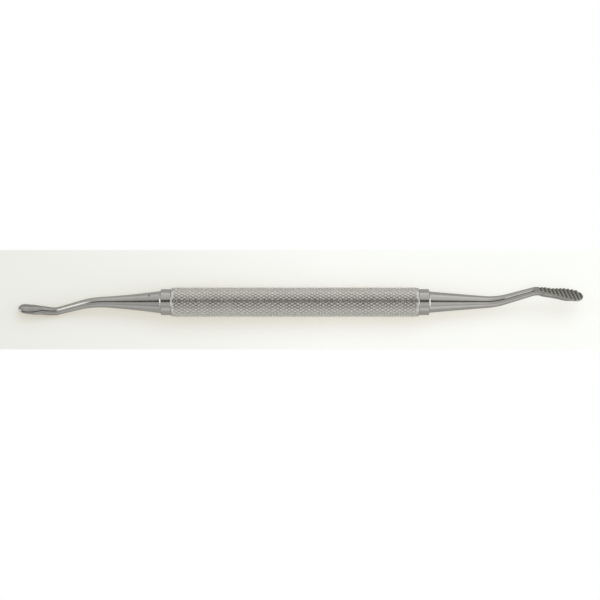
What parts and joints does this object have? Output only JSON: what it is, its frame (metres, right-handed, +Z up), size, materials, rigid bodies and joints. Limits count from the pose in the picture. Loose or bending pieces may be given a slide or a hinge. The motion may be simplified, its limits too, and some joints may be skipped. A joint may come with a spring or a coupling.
{
  "type": "bone file",
  "caption": "Double-ended surgical bone file: a knurled tubular steel handle with a coarse and a fine toothed file head, each on a slender bent shank.",
  "frame": {"origin": "middle of the handle, on its axis", "axes": "+X along the handle towards the coarse file end, +Z up from the surface it lies on, +Y across it towards the side that the coarse head rises to"},
  "size_m": [0.1746, 0.0092, 0.0094],
  "materials": {
    "knurled_steel": "diamond-knurled, satin",
    "coarse_end_steel": "satin, with turned collar and cut teeth",
    "fine_end_steel": "satin, with turned collar and cut teeth"
  },
  "bodies": {
    "root": {"knurled_handle": "knurled_steel", "coarse_file_end": "coarse_end_steel", "fine_file_end": "fine_end_steel"}
  },
  "joints": []
}
